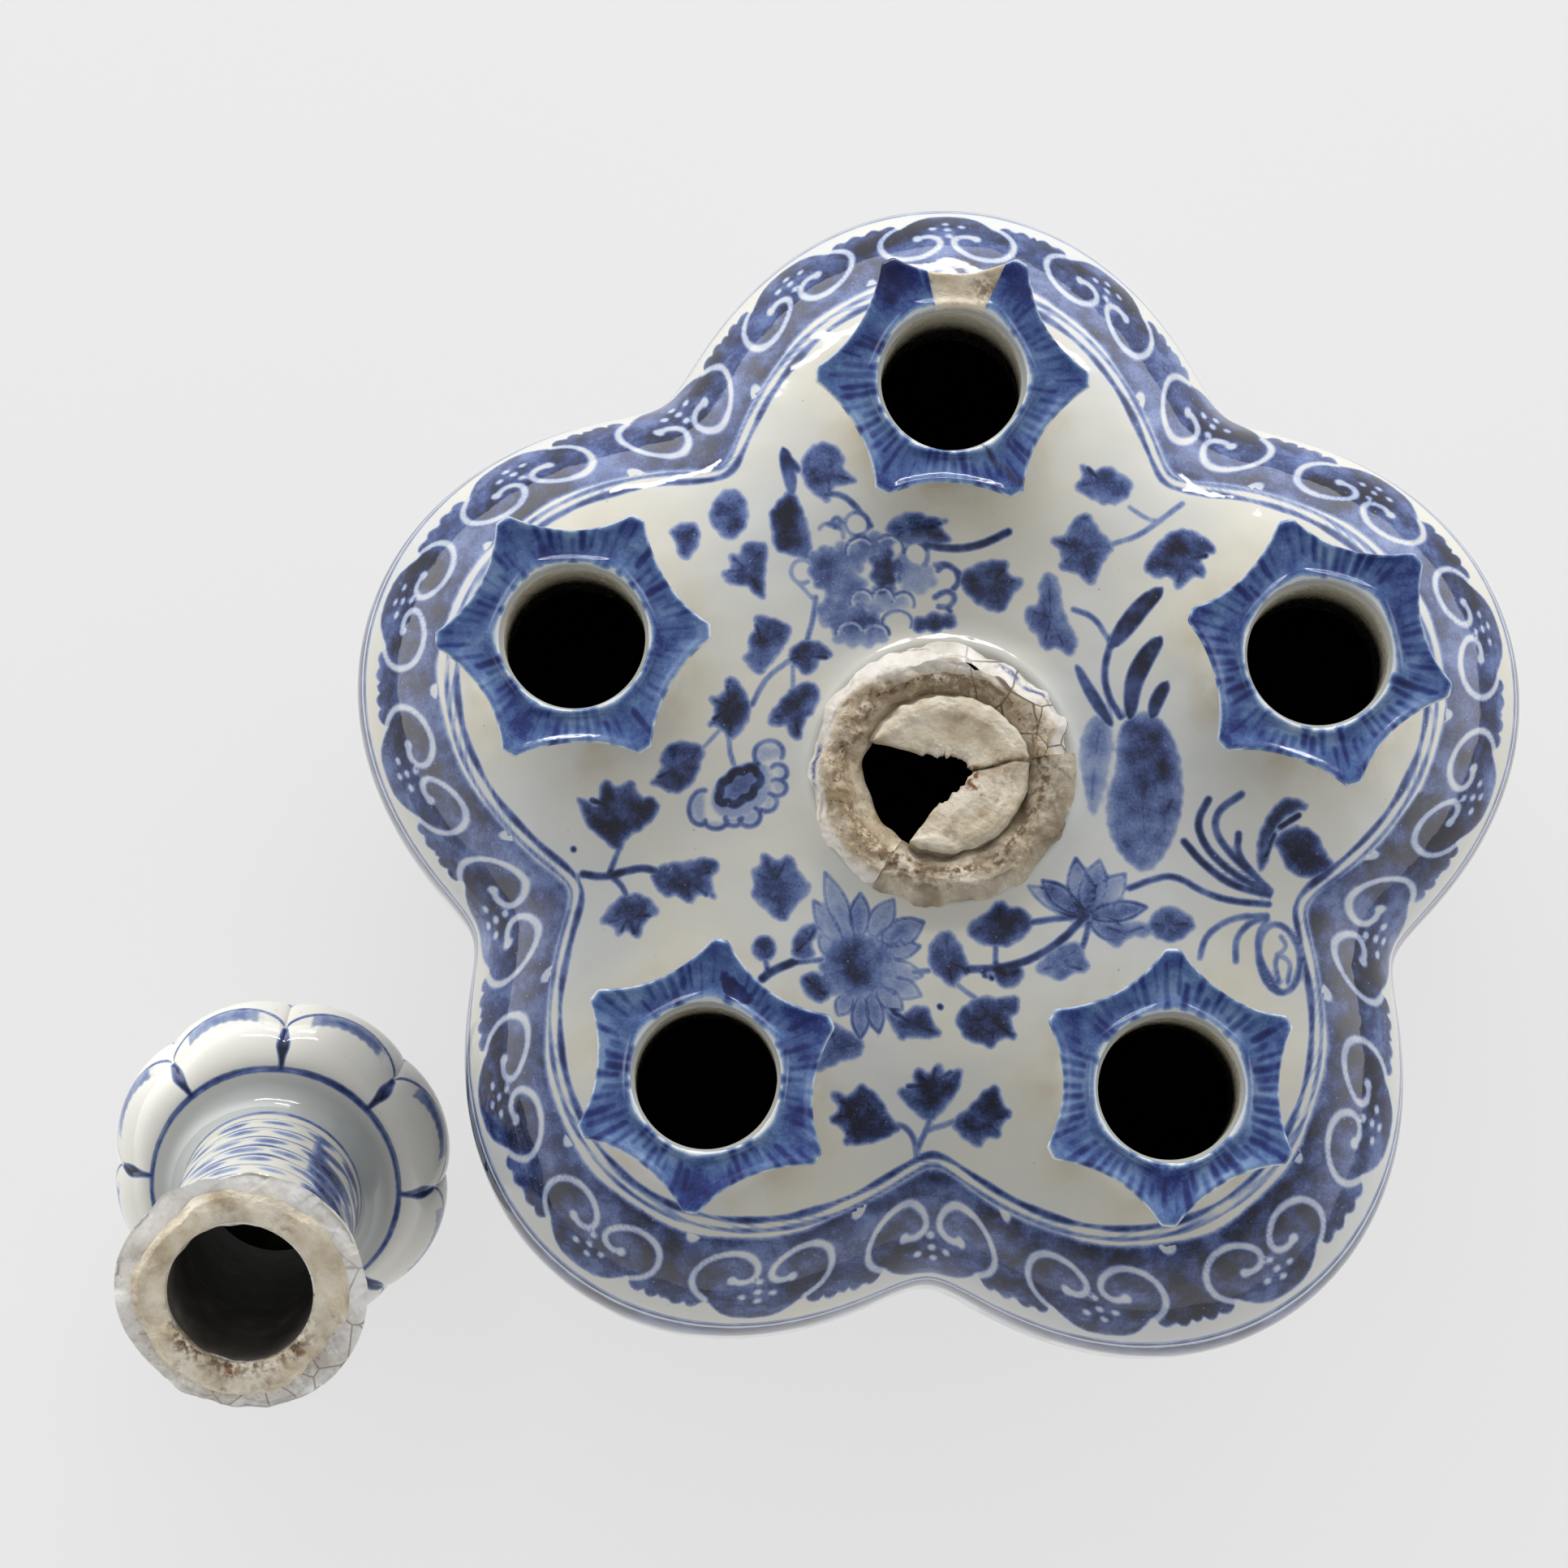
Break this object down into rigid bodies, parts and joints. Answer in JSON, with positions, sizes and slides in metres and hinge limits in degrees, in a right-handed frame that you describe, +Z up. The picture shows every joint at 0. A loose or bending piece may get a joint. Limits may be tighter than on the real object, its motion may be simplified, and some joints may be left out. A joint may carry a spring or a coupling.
{
  "type": "tulipiere",
  "caption": "Low lobed porcelain flower vase painted in blue, short spouts with star-shaped flanges round a broken central neck, the neck lying beside it.",
  "frame": {"origin": "middle of the foot's flat underside, on the vase's axis", "axes": "+Z up the vase's axis, +Y towards spout 1, the loose neck lies towards -X and -Y"},
  "size_m": [0.2427, 0.2092, 0.1061],
  "materials": {
    "painted_glaze": "glossy clear glaze over cobalt painting",
    "blue_flange_glaze": "glossy clear glaze over a blue wash",
    "bare_foot": "unglazed, rubbed smooth",
    "broken_porcelain": "broken edge, stained",
    "old_plaster": "matt, aged and cracked"
  },
  "bodies": {
    "vase": {"dome_shell": "painted_glaze", "lower_bowl": "painted_glaze", "spout_tube_1": "painted_glaze", "spout_tube_2": "painted_glaze", "spout_tube_3": "painted_glaze", "spout_tube_4": "painted_glaze", "spout_tube_5": "painted_glaze", "spout_flange_1": "blue_flange_glaze", "spout_flange_2": "blue_flange_glaze", "spout_flange_3": "blue_flange_glaze", "spout_flange_4": "blue_flange_glaze", "spout_flange_5": "blue_flange_glaze", "foot": "bare_foot", "neck_root_ring": "broken_porcelain", "flange_fill": "old_plaster", "neck_shard": "old_plaster", "repair_plaster": "old_plaster"},
    "neck": {"neck_tube": "painted_glaze", "neck_collar": "painted_glaze", "neck_bulb": "painted_glaze", "neck_lip": "painted_glaze", "neck_plaster": "old_plaster"}
  },
  "joints": [
    {"name": "neck_lift", "type": "slide", "parent": "vase", "child": "neck", "axis": [0, 0, 1], "range_m": [0, 0.12]}
  ]
}
